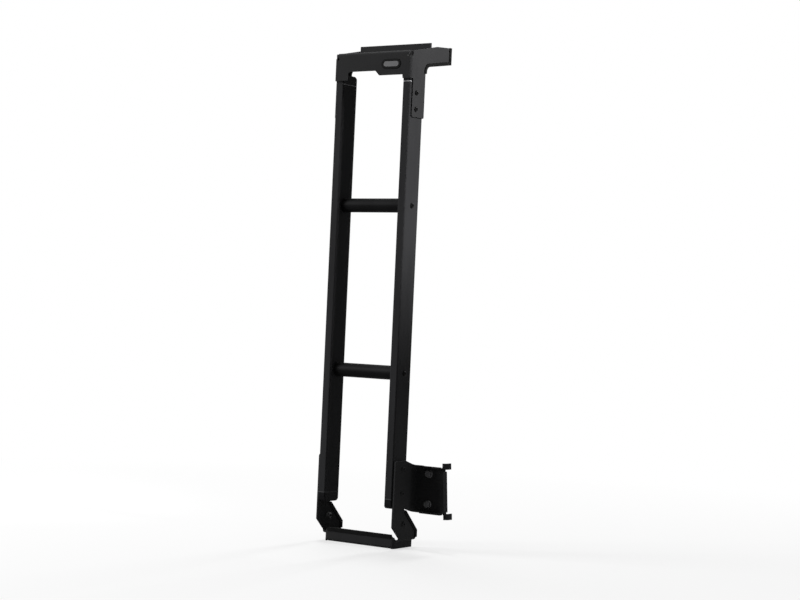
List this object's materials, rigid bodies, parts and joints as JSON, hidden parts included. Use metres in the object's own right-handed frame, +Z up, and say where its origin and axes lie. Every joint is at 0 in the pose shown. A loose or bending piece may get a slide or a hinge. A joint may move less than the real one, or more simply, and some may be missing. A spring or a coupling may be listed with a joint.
{
  "type": "vehicle ladder",
  "caption": "Black rear door ladder: upright rectangular rails with round rungs, on folded sheet brackets that bolt to a hinge and stand off the door.",
  "frame": {"origin": "on the bolting face of the hinge bracket, midway between its two bolt holes", "axes": "+X to the ladder's right, +Y towards the door it stands on, +Z up along the rails"},
  "size_m": [0.2749, 0.141, 1.0028],
  "materials": {
    "rail": "satin black powder coat",
    "rung": "satin black powder coat",
    "bracket": "fine textured black powder coat",
    "cap": "moulded",
    "trim": "matt"
  },
  "bodies": {
    "root": {"left_rail": "rail", "left_rail_top_cap": "cap", "left_rail_bottom_cap": "cap", "left_arm_trim": "trim", "left_foot_trim": "trim", "right_rail": "rail", "right_rail_top_cap": "cap", "right_rail_bottom_cap": "cap", "right_arm_trim": "trim", "right_foot_trim": "trim", "lower_rung": "rung", "upper_rung": "rung", "crossbar_trim": "trim", "top_bracket": "bracket", "lower_bracket": "bracket", "hinge_bracket": "bracket"}
  },
  "joints": []
}
